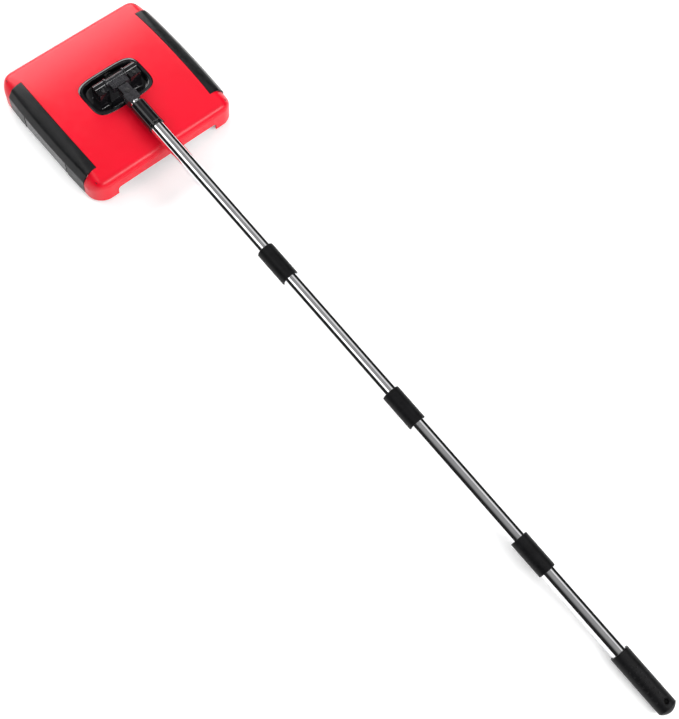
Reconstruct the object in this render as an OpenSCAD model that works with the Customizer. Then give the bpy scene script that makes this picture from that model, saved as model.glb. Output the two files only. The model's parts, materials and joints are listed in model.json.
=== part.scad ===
// Carpet sweeper: a push-along head with a wheel-driven brush and two dust pans,
// and a sectional handle that tilts and swivels on a yoke. Millimetres, +Z up.
// The head faces +Y. The handle lies back along -Y with its grip on the floor.

/* [Head] */
// Width of the head across the end panels
head_w = 233; // [231:1:245]
// Depth of the head from front to rear
head_d = 218; // [216:1:226]
// Height of the crown at mid depth
crown_z = 49; // [49:0.5:52]
// Radius of the front-to-rear crown
crown_r = 700; // [650:10:900]
// Plan radius of the head's corners
corner_r = 21; // [18:1:22]
// Radius of the roll between the crown and the front and rear walls
brim_r = 10; // [9:1:12]
// Height of the feet above the floor
foot_z = 5; // [4:0.5:6]
// Height of the raised front and rear edges
skirt_z = 18; // [16:1:19]
// Wall of the moulded covers
wall = 2.2; // [1.8:0.1:2.3]

/* [End panels] */
// Half distance between the panels' inner edges
panel_x = 92; // [90:0.5:94]
// Half length of a panel
panel_y = 81.7; // [80:0.1:83]
// Height of the top of the vertical side wall
sill_z = 30; // [30:0.5:32]

/* [Pivot] */
// Height of the handle's tilt axis
pivot_z = 66; // [65.5:0.5:68]
// Width of the pivot well over its rim
well_w = 93; // [90:1:94]
// Depth of the pivot well over its rim
well_d = 62; // [59:1:63]
// Distance from the tilt axis to the swivel pin
swivel_at = 28; // [27:0.5:28.5]

/* [Handle] */
// Outer diameter of the tubes
tube_d = 20; // [19.5:0.5:20]
// Wall of the tubes
tube_wall = 0.7; // [0.6:0.1:1]
// Diameter of the screwed couplers
coupler_d = 23.6; // [23:0.2:24.4]
// Length of a coupler
coupler_len = 50; // [46:1:54]
// Distance from the tilt axis to the middle of the first coupler
coupler_at_1 = 333; // [325:1:340]
// Distance from the tilt axis to the middle of the second coupler
coupler_at_2 = 572; // [562:1:578]
// Distance from the tilt axis to the middle of the third coupler
coupler_at_3 = 801; // [795:1:810]
// Distance from the tilt axis to the end of the grip
handle_len = 1031; // [1028:1:1040]
// Length of the grip
grip_len = 85; // [80:1:90]
// Diameter of the grip
grip_d = 25; // [24:0.5:26]

/* [Running gear] */
// Radius of the wheels over their tyres
wheel_r = 18; // [17.8:0.1:18.2]
// Half distance between the two axles
wheel_y = 30; // [30:0.1:30.6]
// Radius of the brush over its bristles
brush_r = 18; // [17:0.2:18]

/* [Hidden] */
$fn = 96;

red = [0.93, 0.06, 0.12];
black = [0.09, 0.09, 0.10];
grey = [0.32, 0.32, 0.34];
steel = [0.78, 0.79, 0.80];

half_w = head_w / 2;
half_d = head_d / 2;
tall = 80;              // taller than the head, for cutting shapes
big_fn = 360;           // facets of very large circles
seam = 0.25;            // visible joint round an end panel
fit = 0.05;             // radial clearance of a running fit

// End sections of the head: a shallow arc over the shoulder, then a steep chamfer.
shoulder_r = 60;
shoulder_x = half_w - 39.9;     // centre of the shoulder's arc
shoulder_z = crown_z - 58.3;
chamfer_run = 6.5;
chamfer_rise = 10.6;
chamfer_len = norm([chamfer_run, chamfer_rise]);
panel_bow = 1.5;        // outward bow of a panel's inner edge at mid length
bow_r = (panel_y * panel_y + panel_bow * panel_bow) / (2 * panel_bow);
post_at = [96, 60];     // posts that stand a panel on the chassis
post_size = [2.5, 15];

// Raised edges between the feet.
skirt_half = 80;
skirt_r = 5;

// Chassis.
roof_top = 39;
roof_z = 37.2;
roof_x = 104.5;
rail_z = 8;             // underside of the chassis walls
sheet = 2;              // thickness of the chassis walls
bay_in = 86;            // inner face of the partition beside the brush
bay_out = 102.5;        // inner face of the outer wheel wall
side_len = 58;          // half length of the outer wheel wall
frame_y = 97.4;         // inner face of the front and rear walls
frame_t = 1.6;

// Screws and their bosses. The first four case screws hold the cover, the rest hold the well.
saddle_in = 16.7;
saddle_out = 32.5;
saddle_mid = (saddle_in + saddle_out) / 2;
well_screw_y = 11.5;
cap_screw_y = -9;
cover_screws_at = [[60, 68], [-60, 68], [60, -68], [-60, -68]];
well_screws_at = [for (x = [-1, 1], y = [-1, 1]) [x * saddle_mid, y * well_screw_y]];
boss_r = 3.5;
well_boss_r = 4.5;
case_screw_r = 1.25;
case_screw_len = 5.4;
case_pilot_r = 1.3;
pilot_depth = 4.2;      // above the top of the chassis roof
case_hole_r = 1.5;
case_head_r = 2.6;
case_head_h = 1.5;
cap_screw_r = 1;
cap_screw_len = 8;
cap_pilot_r = 1.05;
cap_hole_r = 1.2;
cap_head_r = 2.2;
cap_head_h = 1.2;
recess_w = 0.6;         // width and depth of a screw's cross recess
recess_d = 0.8;

// Running gear.
wheel_x = 98;
wheel_w = 7;
rim_r = 13.5;
rim_t = 2;
hub_wall = 3.5;
tyre_edge_r = 1.5;
web_hole_at = 8.5;
web_hole_r = 2;
axle_r = 2;
bush_r = 3.5;
bush_flange = 1;
bush_flange_t = 0.6;
axle_hole_r = 3;        // where an axle passes the partition
brush_hole_r = 7;
shaft_end = 104.9;
brush_z = 18.5;
brush_axle_r = 2.5;
brush_bush_r = 4.5;
core_r = 9;
core_half = 83;
flange_r = 12;
flange_t = 2;
spigot_r = 5;
drive_gap = 0.35;
drive_r = norm([wheel_y, brush_z - wheel_r]) - wheel_r - drive_gap;
tuft_r = 1.8;
tuft_rows = 4;
tuft_steps = 14;
tuft_pitch = 11.6;
tuft_twist = 9;         // turn of a row from one tuft to the next, in degrees

// Dust pans and their cranked rods.
rod_y = 92;
rod_z = 13;
rod_r = 1.5;
crank = 4.6;            // throw of the rod's cranked ends
crank_angle = 25;       // above level when closed, below level when open
crank_y = rod_y - crank * cos(crank_angle);
crank_z = rod_z + crank * sin(crank_angle);
web_x = 95;
web_r = 2.2;
crank_end = 103;
pan_half = 84.6;
pan_back = 96;
pan_floor = 8;
pan_top = 33;
pan_t = 1.6;
lip_y = 20;
lip_z = 13.2;
lip_t = 1.8;
ramp_foot = lip_y + 5;  // where the ramp meets the pan's floor, below and above
ramp_top = lip_y + 22;
cheek_low = [36, lip_z + 1];
cheek_high = 44;
hinge_at = [-40, 0, 40];
hinge_half = 3;
hinge_r = 3.2;
tooth_w = 1.6;
tooth_h = 1.5;
tooth_len = 3;
comb_pitch = 6;
comb_teeth = 27;

// Release levers.
lever_x = 111;
lever_z = 16;
lever_half = 44;
lever_foot = 6.5;
lever_top = 28.3;
lever_plate = half_w - 3;
arm_z = 21;             // underside of the arms that reach in over the axles
arm_h = 4;
arm_w = 3;
arm_end = 89.6;
arm_in = 97;
rib_from = 30;
rib_len = 13;
nub_x = 99;
nub_w = 3;
nub_z = 16.8;
lever_slot = 46;
lever_slot_top = 29.3;
knuckle_y = 36;
knuckle_len = 7;
knuckle_r = 3.2;
lug_y = 46.5;
lug_len = 5;
lug_r = 3;

// Pivot well and tee.
well_r = 17;
well_rim = 1.2;
well_floor = 42;
floor_t = 1.6;
well_lip = 2.5;
well_wall = 2;          // the wall stands this far in from the lip's edge
well_hole = 1.5;        // the cover's hole is this much smaller all round than the lip
plinth_z = 46;          // top of the low plinth under each saddle
plinth_y = 16;
saddle_back = 12;
cap_r = 5.6;
ear_t = 2;
stub_r = 3.5;
stub_end = 31;
stub_gap = 0.5;         // beyond each end of the shaft
hub_r = 4.5;
hub_half = 12.5;
flange_at = 13.5;       // thrust flanges at the ends of the tee's barrel
flange_end = 15.5;
thrust_r = 6.5;
groove_pitch = 2.7;
groove_w = 0.9;
groove_d = 0.6;
web_h = 3;              // half height of the web from the barrel to the ribbed block
block_from = 9.5;
block_to = 15;
block_h = 5.2;
tongue_t = 6.8;
tongue_r = 6.8;

// Handle fittings, as stations from the tilt axis.
yoke_from = 18.2;
yoke_step = 30.5;       // where the body widens
yoke_to = 45;
yoke_half = 7;
yoke_nose = 7.3;        // half width at the nose, over the body and at the back
yoke_body = 9.2;
yoke_back = 7.3;
yoke_shoulder = 1.5;
yoke_chamfer = 3;
slot_half = 3.6;
slot_to = 36.5;
pin_r = 2.5;
pin_head_r = 3.2;
pin_head_h = 0.8;
pin_foot_r = 3.2;
pin_foot_h = 0.8;
pin_dome_r = 22;
neck_r = 6;
neck_to = 60;
ring_to = 47.5;
ring_r = 7.6;
ferrule_to = 91;
ferrule_r = 11;
ferrule_nose = 3.5;      // rounding of the front end
ferrule_bead_r = 11.4;
ferrule_bead_len = 5;
ferrule_edge = 0.8;
tube_from = 62.5;
tube_r = tube_d / 2;
tube_to = 1000;
coupler_r = coupler_d / 2;
coupler_gap = 2;
coupler_edge = 0.8;
plug_half = 22;
joint_gap = 0.2;        // between a plug's shoulder and the tubes' ends
grip_r = grip_d / 2;
grip_dome = 6;
hang_at = 1017;
hang_r = 3.5;

// The handle leans back until the end of the grip touches the floor.
dome_at = handle_len - grip_dome;
handle_tilt = asin(pivot_z / norm([dome_at, grip_r])) - atan2(grip_r, dome_at);
dome_r = (grip_r * grip_r + grip_dome * grip_dome) / (2 * grip_dome);
reach = (handle_len - dome_r) * cos(handle_tilt) + dome_r;
// The origin lies under the middle of the whole object, so the head stands ahead of it.
head_y = (reach - half_d) / 2;

// Placement helpers.
module at_head() { translate([0, head_y, 0]) children(); }
module at_handle() { translate([0, head_y, pivot_z]) rotate([handle_tilt, 0, 0]) children(); }
module left_and_right() { children(); mirror([1, 0, 0]) children(); }
module front_and_rear() { children(); mirror([0, 1, 0]) children(); }
// A section drawn in Y and Z, extruded along X.
module across(from, to) {
    translate([from, 0, 0]) rotate([90, 0, 90]) linear_extrude(to - from) children();
}
// A bar along X at a given Y and Z.
module bar_x(from, to, y, z, r) {
    translate([from, y, z]) rotate([0, 90, 0]) cylinder(r = r, h = to - from);
}
// A bar along Y at a given X and Z.
module bar_y(from, to, x, z, r) {
    translate([x, to, z]) rotate([90, 0, 0]) cylinder(r = r, h = to - from);
}
// A bar along the handle between two stations.
module bar_s(from, to, r) { translate([0, -from, 0]) rotate([90, 0, 0]) cylinder(r = r, h = to - from); }
// A shape turned about the handle's axis: the section's X is radius, its Y is station.
module turned_s() { rotate([90, 0, 0]) rotate_extrude() children(); }
// A shape turned about the X axis at a given place: the section's Y is along X.
module turned_x(x, y, z) { translate([x, y, z]) rotate([0, 90, 0]) rotate_extrude() children(); }

// A rounded rectangle made of squares and circles, centred on the origin.
module round_rect(w, d, r) {
    square([w - 2 * r, d], center = true);
    square([w, d - 2 * r], center = true);
    for (x = [-1, 1], y = [-1, 1]) translate([x * (w / 2 - r), y * (d / 2 - r)]) circle(r = r);
}

// Front-to-rear section of the head: crown over a rolled brim.
module side_profile(inset, base) {
    brim_y = half_d - brim_r;
    brim_z = sill_z - 1;
    intersection() {
        translate([0, crown_z - crown_r]) circle(r = crown_r - inset, $fn = big_fn);
        union() {
            translate([inset - half_d, base]) square([2 * (half_d - inset), brim_z - base]);
            translate([-brim_y, base]) square([2 * brim_y, tall]);
            for (s = [-1, 1]) translate([s * brim_y, brim_z]) circle(r = brim_r - inset);
        }
    }
}

// Side-to-side section of the head: level middle with shouldered, chamfered ends.
module end_profile(inset, base) {
    hw = half_w - inset;
    sill = sill_z - inset * (chamfer_len - chamfer_rise) / chamfer_run;
    top_x = hw - (tall - sill) * chamfer_run / chamfer_rise;
    intersection() {
        polygon([[-hw, base], [hw, base], [hw, sill], [top_x, tall], [-top_x, tall], [-hw, sill]]);
        union() {
            translate([-shoulder_x, base]) square([2 * shoulder_x, tall]);
            for (s = [-1, 1]) translate([s * shoulder_x, shoulder_z]) circle(r = shoulder_r - inset);
        }
    }
}

// The head's outer form, or its inner face when inset by the wall.
module head_form(inset = 0, base = foot_z) {
    intersection() {
        across(-half_w, half_w) side_profile(inset, base);
        translate([0, half_d, 0]) rotate([90, 0, 0]) linear_extrude(head_d) end_profile(inset, base);
        linear_extrude(tall) round_rect(head_w - 2 * inset, head_d - 2 * inset, corner_r - inset);
    }
}

// The space of the right-hand end panel, with a gap added all round.
module panel_zone(gap = 0) {
    difference() {
        translate([panel_x - 5, -panel_y - gap, 0]) cube([40, 2 * (panel_y + gap), tall]);
        translate([panel_x + panel_bow - bow_r - gap, 0, -1])
            cylinder(r = bow_r, h = tall + 2, $fn = 4 * big_fn);
    }
}

// Red cover: crowned top, rolled front and rear walls and four corner feet.
module top_shell() {
    color(red) at_head() difference() {
        union() {
            difference() {
                head_form();
                head_form(wall, foot_z - 1);
            }
            for (p = cover_screws_at) intersection() {
                translate([p[0], p[1], roof_top]) cylinder(r = boss_r, h = tall);
                head_form(wall / 2);
            }
        }
        left_and_right() panel_zone(seam);
        translate([0, half_d + 1, 0]) rotate([90, 0, 0]) linear_extrude(head_d + 2)
            round_rect(2 * skirt_half, 2 * skirt_z, skirt_r);
        linear_extrude(tall) well_outline(well_hole);
        pilots(cover_screws_at);
    }
}

// Black end cover, with a slot in its side wall for the release lever.
module end_panel() {
    difference() {
        union() {
            intersection() {
                difference() {
                    head_form();
                    head_form(wall, foot_z - 1);
                }
                panel_zone();
            }
            front_and_rear() intersection() {
                translate([post_at[0], post_at[1], roof_top]) cube([post_size[0], post_size[1], tall]);
                head_form(wall / 2);
            }
        }
        translate([half_w - 8, -lever_slot, -1]) cube([10, 2 * lever_slot, lever_slot_top + 1]);
    }
}
module end_panel_right() { color(black) at_head() end_panel(); }
module end_panel_left() { color(black) at_head() mirror([1, 0, 0]) end_panel(); }

// The well's plan outline, drawn in from the lip's edge.
module well_outline(inset) {
    round_rect(well_w - 2 * inset, well_d - 2 * inset, well_r - inset);
}
// The space under the well's crowned rim.
module under_rim() {
    across(-half_w, half_w) translate([0, crown_z - crown_r]) circle(r = crown_r + well_rim, $fn = big_fn);
}

// Black dish in the crown, with the lower halves of the tilt bearings.
module pivot_well() {
    color(black) at_head() difference() {
        union() {
            intersection() {
                translate([0, 0, well_floor]) linear_extrude(tall) difference() {
                    well_outline(0);
                    well_outline(well_lip);
                }
                difference() {
                    under_rim();
                    across(-half_w, half_w) translate([0, crown_z - crown_r])
                        circle(r = crown_r, $fn = big_fn);
                }
            }
            intersection() {
                translate([0, 0, well_floor - floor_t]) linear_extrude(tall) difference() {
                    well_outline(well_wall);
                    well_outline(2 * well_wall);
                }
                under_rim();
            }
            translate([0, 0, well_floor - floor_t]) linear_extrude(floor_t) well_outline(well_wall);
            left_and_right() {
                translate([saddle_in, -saddle_back, well_floor - floor_t])
                    cube([saddle_out - saddle_in, saddle_back + cap_r, pivot_z - well_floor + floor_t]);
                translate([saddle_in, -plinth_y, well_floor - floor_t])
                    cube([saddle_out - saddle_in, 2 * plinth_y, plinth_z - well_floor + floor_t]);
                front_and_rear() translate([saddle_mid, well_screw_y, roof_top])
                    cylinder(r = well_boss_r, h = floor_t + 1);
            }
        }
        bar_x(-stub_end - stub_gap, stub_end + stub_gap, 0, pivot_z, stub_r + fit);
        pilots(well_screws_at);
        left_and_right() translate([saddle_mid, cap_screw_y, pivot_z - cap_screw_len])
            cylinder(r = cap_pilot_r, h = cap_screw_len + 1);
    }
}

// Upper halves of the tilt bearings: round over the shaft, with a screwed ear behind.
module pivot_caps() {
    color(black) at_head() translate([0, 0, pivot_z]) left_and_right() difference() {
        across(saddle_in, saddle_out) {
            intersection() {
                circle(r = cap_r);
                translate([-cap_r, 0]) square([2 * cap_r, cap_r]);
            }
            translate([-saddle_back, 0]) square([saddle_back, ear_t]);
        }
        bar_x(saddle_in - 1, stub_end + stub_gap, 0, 0, stub_r + fit);
        translate([saddle_mid, cap_screw_y, -1]) cylinder(r = cap_hole_r, h = ear_t + 2);
    }
}

// Pilot holes for case screws, up from the top of the chassis roof.
module pilots(places) {
    for (p = places) translate([p[0], p[1], roof_top - 1]) cylinder(r = case_pilot_r, h = pilot_depth + 1);
}

// A pan-headed screw pointing up, with a cross recess. The face under its head is at z = 0.
module screw_up(head_r, head_h, shank_r, len) {
    difference() {
        union() {
            translate([0, 0, -head_h]) cylinder(r = head_r, h = head_h);
            cylinder(r = shank_r, h = len);
        }
        for (a = [0, 90]) rotate(a) translate([0, 0, -head_h])
            cube([head_r * 1.2, recess_w, 2 * recess_d], center = true);
    }
}
module cap_screws() {
    color(black) at_head() left_and_right()
        translate([saddle_mid, cap_screw_y, pivot_z + ear_t]) mirror([0, 0, 1])
            screw_up(cap_head_r, cap_head_h, cap_screw_r, cap_screw_len);
}
module case_screws() {
    color(steel) at_head() for (p = concat(cover_screws_at, well_screws_at))
        translate([p[0], p[1], roof_z]) screw_up(case_head_r, case_head_h, case_screw_r, case_screw_len);
}

// Black chassis: roof over the brush, wheel bays, bearing walls and lever lugs.
module base_frame() {
    color(black) at_head() difference() {
        union() {
            translate([-roof_x, -frame_y - frame_t, roof_z])
                cube([2 * roof_x, 2 * (frame_y + frame_t), roof_top - roof_z]);
            left_and_right() {
                translate([bay_in, -frame_y, rail_z]) cube([sheet, 2 * frame_y, roof_top - rail_z]);
                translate([bay_out, -side_len, rail_z]) cube([sheet, 2 * side_len, roof_top - rail_z]);
                front_and_rear() {
                    translate([bay_out, lug_y, lever_z - lug_r])
                        cube([lever_x - bay_out, lug_len, 2 * lug_r]);
                    bar_y(lug_y, lug_y + lug_len, lever_x, lever_z, lug_r);
                }
            }
            front_and_rear() translate([-bay_in - sheet, frame_y, skirt_z - 2])
                cube([2 * (bay_in + sheet), frame_t, roof_top - skirt_z + 2]);
        }
        left_and_right() {
            bar_x(bay_in - 1, bay_out - 1, 0, brush_z, brush_hole_r);
            bar_x(bay_out - 1, bay_out + 3, 0, brush_z, brush_bush_r);
            front_and_rear() {
                bar_x(bay_in - 1, bay_out - 1, wheel_y, wheel_r, axle_hole_r);
                bar_x(bay_out - 1, bay_out + 3, wheel_y, wheel_r, bush_r);
                bar_x(bay_in - 1, bay_in + 3, rod_y, rod_z, rod_r + fit);
                bar_y(lug_y - 1, lug_y + lug_len + 1, lever_x, lever_z, rod_r);
            }
        }
        for (p = concat(cover_screws_at, well_screws_at)) translate([p[0], p[1], roof_z - 1])
            cylinder(r = case_hole_r, h = roof_top - roof_z + 2);
    }
}

// A flanged bush in the right-hand outer wheel wall.
module bush(y, z, outer_r, bore_r) {
    difference() {
        union() {
            bar_x(bay_out, bay_out + sheet, y, z, outer_r);
            bar_x(bay_out - bush_flange_t, bay_out, y, z, outer_r + bush_flange);
        }
        bar_x(bay_out - 2, bay_out + sheet + 2, y, z, bore_r);
    }
}
module axle_bushes() {
    color("ivory") at_head() left_and_right() front_and_rear()
        bush(wheel_y, wheel_r, bush_r, axle_r + fit);
}
module brush_bushes() {
    color("ivory") at_head() left_and_right() bush(0, brush_z, brush_bush_r, brush_axle_r + fit);
}
module lever_rods() {
    rod_end = lug_y + lug_len;
    color(steel) at_head() left_and_right() bar_y(-rod_end, rod_end, lever_x, lever_z, rod_r);
}

// Torsion springs on the pan rods, one at each end of each rod.
module pan_springs() {
    coil_r = 2.9;
    wire_r = 0.5;
    coil_x = 90;
    turns = 5;
    leg = 12;
    color(steel) at_head() left_and_right() front_and_rear() {
        turned_x(coil_x, rod_y, rod_z) for (i = [0:turns - 1])
            translate([coil_r, i * wire_r * 1.8]) circle(r = wire_r, $fn = 24);
        translate([coil_x, rod_y - coil_r, rod_z + 1]) cylinder(r = wire_r, h = leg, $fn = 24);
    }
}

// Long side rocker. Pressing its upper edge drives both cranks down.
module release_lever() {
    arm_x = lever_x - 2;
    arm_out = lever_x + 1;
    difference() {
        union() {
            translate([lever_plate, -lever_half, lever_foot])
                cube([wall, 2 * lever_half, lever_top - lever_foot]);
            front_and_rear() {
                translate([arm_x, rib_from, arm_z]) cube([arm_w, arm_end - rib_from, arm_h]);
                translate([arm_x, rib_from, arm_z]) cube([lever_plate + 1 - arm_x, rib_len, arm_h]);
                translate([arm_in, arm_end - arm_h, arm_z]) cube([arm_out - arm_in, arm_h, arm_h]);
                translate([nub_x, arm_end - arm_h, nub_z]) cube([nub_w, arm_h, arm_z + 1 - nub_z]);
                bar_y(knuckle_y, knuckle_y + knuckle_len, lever_x, lever_z, knuckle_r);
            }
        }
        bar_y(-lug_y, lug_y, lever_x, lever_z, rod_r + fit);
    }
}
module release_lever_right() { color(grey) at_head() release_lever(); }
module release_lever_left() { color(grey) at_head() mirror([1, 0, 0]) release_lever(); }

// Dust pan in front of the brush: a tray with a ramped, toothed lip.
module pan() {
    difference() {
        union() {
            across(-pan_half, pan_half) polygon([
                [lip_y, lip_z - lip_t], [ramp_foot, pan_floor], [pan_back, pan_floor], [pan_back, pan_top],
                [pan_back - pan_t, pan_top], [pan_back - pan_t, pan_floor + pan_t],
                [ramp_top, pan_floor + pan_t], [ramp_foot, lip_z], [lip_y, lip_z]]);
            left_and_right() across(pan_half - pan_t, pan_half) polygon([
                [lip_y, lip_z - lip_t], [ramp_foot, pan_floor], [pan_back, pan_floor], [pan_back, pan_top],
                [cheek_high, pan_top], cheek_low, [lip_y, lip_z]]);
            for (x = hinge_at) {
                bar_x(x - hinge_half, x + hinge_half, rod_y, rod_z, hinge_r);
                translate([x - hinge_half, rod_y - hinge_r, pan_floor + 0.5])
                    cube([2 * hinge_half, 2 * hinge_r, rod_z - pan_floor]);
            }
            for (i = [0:comb_teeth - 1])
                translate([(i - (comb_teeth - 1) / 2) * comb_pitch - tooth_w / 2, lip_y, lip_z - 0.5])
                    cube([tooth_w, tooth_len, tooth_h + 0.5]);
        }
        bar_x(-pan_half - 1, pan_half + 1, rod_y, rod_z, rod_r);
    }
}
module front_pan() { color(black) at_head() pan(); }
module rear_pan() { color(black) at_head() mirror([0, 1, 0]) pan(); }

// Steel hinge rod of a pan, with a crank at each end.
module pan_rod() {
    bar_x(-web_x - sheet, web_x + sheet, rod_y, rod_z, rod_r);
    left_and_right() {
        bar_x(web_x, crank_end, crank_y, crank_z, rod_r);
        across(web_x, web_x + sheet) {
            translate([rod_y, rod_z]) circle(r = web_r);
            translate([crank_y, crank_z]) circle(r = web_r);
            translate([rod_y, rod_z]) rotate(180 - crank_angle) translate([0, -web_r])
                square([crank, 2 * web_r]);
        }
    }
}
module front_pan_rod() { color(steel) at_head() pan_rod(); }
module rear_pan_rod() { color(steel) at_head() mirror([0, 1, 0]) pan_rod(); }

// Wheels, drawn for the front right corner.
module wheel_axle() { bar_x(-shaft_end, shaft_end, wheel_y, wheel_r, axle_r); }
module wheel_hub() {
    half = wheel_w / 2;
    difference() {
        turned_x(wheel_x, wheel_y, wheel_r) {
            translate([axle_r, -half]) square([hub_wall, wheel_w]);
            translate([axle_r, -rim_t / 2]) square([rim_r - axle_r, rim_t]);
            translate([rim_r - rim_t, -half]) square([rim_t, wheel_w]);
        }
        for (a = [0:72:359]) translate([wheel_x, wheel_y, wheel_r]) rotate([a, 0, 0])
            bar_x(-half, half, web_hole_at, 0, web_hole_r);
    }
}
module tyre() {
    turned_x(wheel_x, wheel_y, wheel_r) intersection() {
        translate([rim_r, -wheel_w / 2]) square([wheel_r - rim_r, wheel_w]);
        translate([rim_r, 0]) round_rect(2 * (wheel_r - rim_r), wheel_w, tyre_edge_r);
    }
}
module front_axle() { color(steel) at_head() wheel_axle(); }
module rear_axle() { color(steel) at_head() mirror([0, 1, 0]) wheel_axle(); }
module wheel_hub_front_right() { color(black) at_head() wheel_hub(); }
module wheel_hub_front_left() { color(black) at_head() mirror([1, 0, 0]) wheel_hub(); }
module wheel_hub_rear_right() { color(black) at_head() mirror([0, 1, 0]) wheel_hub(); }
module wheel_hub_rear_left() { color(black) at_head() rotate(180) wheel_hub(); }
module tyre_front_right() { color(grey) at_head() tyre(); }
module tyre_front_left() { color(grey) at_head() mirror([1, 0, 0]) tyre(); }
module tyre_rear_right() { color(grey) at_head() mirror([0, 1, 0]) tyre(); }
module tyre_rear_left() { color(grey) at_head() rotate(180) tyre(); }

// Brush: a plastic core on a steel axle, with rows of tufts and two drive rings.
module brush_axle() { color(steel) at_head() bar_x(-shaft_end, shaft_end, 0, brush_z, brush_axle_r); }
module brush_core() {
    color(black) at_head() difference() {
        union() {
            bar_x(-core_half, core_half, 0, brush_z, core_r);
            left_and_right() {
                bar_x(core_half - flange_t, core_half, 0, brush_z, flange_r);
                bar_x(core_half, wheel_x - wheel_w / 2, 0, brush_z, spigot_r);
            }
        }
        bar_x(-wheel_x, wheel_x, 0, brush_z, brush_axle_r);
    }
}
module brush_tufts() {
    color(black) at_head() translate([0, 0, brush_z])
        for (row = [0:tuft_rows - 1], i = [0:tuft_steps - 1]) {
            x = (i - (tuft_steps - 1) / 2) * tuft_pitch;
            turn = row * 360 / tuft_rows + abs(x) / tuft_pitch * tuft_twist;
            translate([x, 0, 0]) rotate([turn, 0, 0]) translate([0, 0, core_r - 0.5])
                cylinder(r = tuft_r, h = brush_r - core_r + 0.5, $fn = 24);
        }
}
module drive_ring() {
    difference() {
        bar_x(wheel_x - wheel_w / 2, wheel_x + wheel_w / 2, 0, brush_z, drive_r);
        bar_x(wheel_x - wheel_w, wheel_x + wheel_w, 0, brush_z, brush_axle_r);
    }
}
module drive_ring_right() { color(grey) at_head() drive_ring(); }
module drive_ring_left() { color(grey) at_head() mirror([1, 0, 0]) drive_ring(); }

// Tilting tee: ribbed barrel and block, two stub shafts and a tongue for the swivel pin.
module pivot_tee() {
    color(grey) at_handle() difference() {
        union() {
            bar_x(-flange_at, flange_at, 0, 0, hub_r);
            left_and_right() bar_x(flange_at, flange_end, 0, 0, thrust_r);
            bar_x(-stub_end, stub_end, 0, 0, stub_r);
            translate([-hub_half, -block_from - 1, -web_h]) cube([2 * hub_half, block_from + 1, 2 * web_h]);
            translate([-hub_half, -block_to, -block_h])
                cube([2 * hub_half, block_to - block_from, 2 * block_h]);
            translate([-tongue_r, -swivel_at, -tongue_t / 2]) cube([2 * tongue_r, swivel_at, tongue_t]);
            translate([0, -swivel_at, -tongue_t / 2]) cylinder(r = tongue_r, h = tongue_t);
        }
        translate([0, -swivel_at, -tongue_t]) cylinder(r = pin_r + fit, h = 2 * tongue_t);
        for (x = [-4:4]) {
            turned_x(x * groove_pitch, 0, 0)
                translate([hub_r - groove_d, -groove_w / 2]) square([2 * groove_d, groove_w]);
            translate([x * groove_pitch - groove_w / 2, -block_to - 1, block_h - groove_d])
                cube([groove_w, block_to - block_from + 2, 2 * groove_d]);
        }
    }
}

// Yoke: a box-like clevis round the tongue, with a round neck for the ferrule.
module swivel_yoke() {
    half_plan = [[yoke_nose, -yoke_from], [yoke_nose, -yoke_step], [yoke_body, -yoke_step - yoke_shoulder],
        [yoke_body, -yoke_to + yoke_chamfer], [yoke_back, -yoke_to]];
    other_half = [for (i = [len(half_plan) - 1:-1:0]) [-half_plan[i][0], half_plan[i][1]]];
    color(grey) at_handle() difference() {
        union() {
            translate([0, 0, -yoke_half]) linear_extrude(2 * yoke_half)
                polygon(concat(half_plan, other_half));
            bar_s(yoke_to - 1, neck_to, neck_r);
        }
        translate([-2 * yoke_body, -slot_to, -slot_half]) cube([4 * yoke_body, slot_to, 2 * slot_half]);
        translate([0, -swivel_at, -yoke_half - 1]) cylinder(r = pin_r, h = 2 * yoke_half + 2);
    }
}
module swivel_pin() {
    color(steel) at_handle() translate([0, -swivel_at, 0]) rotate_extrude() intersection() {
        union() {
            translate([0, -yoke_half - pin_foot_h]) square([pin_r, 2 * (yoke_half + pin_foot_h)]);
            translate([0, yoke_half]) square([pin_head_r, pin_head_h]);
            translate([0, -yoke_half - pin_foot_h]) square([pin_foot_r, pin_foot_h]);
        }
        translate([0, yoke_half + pin_head_h - pin_dome_r]) circle(r = pin_dome_r);
    }
}
module collar_ring() {
    color(steel) at_handle() difference() {
        bar_s(yoke_to, ring_to, ring_r);
        bar_s(yoke_to - 1, ring_to + 1, neck_r + fit);
    }
}
module ferrule() {
    bead_at = ferrule_to - ferrule_bead_len;
    nose = [for (a = [90:-15:0]) [ferrule_r - ferrule_nose * (1 - cos(a)),
        ring_to + ferrule_nose * (1 - sin(a))]];
    color(black) at_handle() difference() {
        turned_s() polygon(concat([[0, ring_to]], nose, [[ferrule_r, bead_at],
            [ferrule_bead_r, bead_at + ferrule_edge], [ferrule_bead_r, ferrule_to - ferrule_edge],
            [ferrule_bead_r - ferrule_edge, ferrule_to], [0, ferrule_to]]));
        bar_s(ring_to - 1, neck_to + 0.4, neck_r + fit);
        bar_s(tube_from - 0.2, ferrule_to + 1, tube_r + fit);
    }
}

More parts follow.
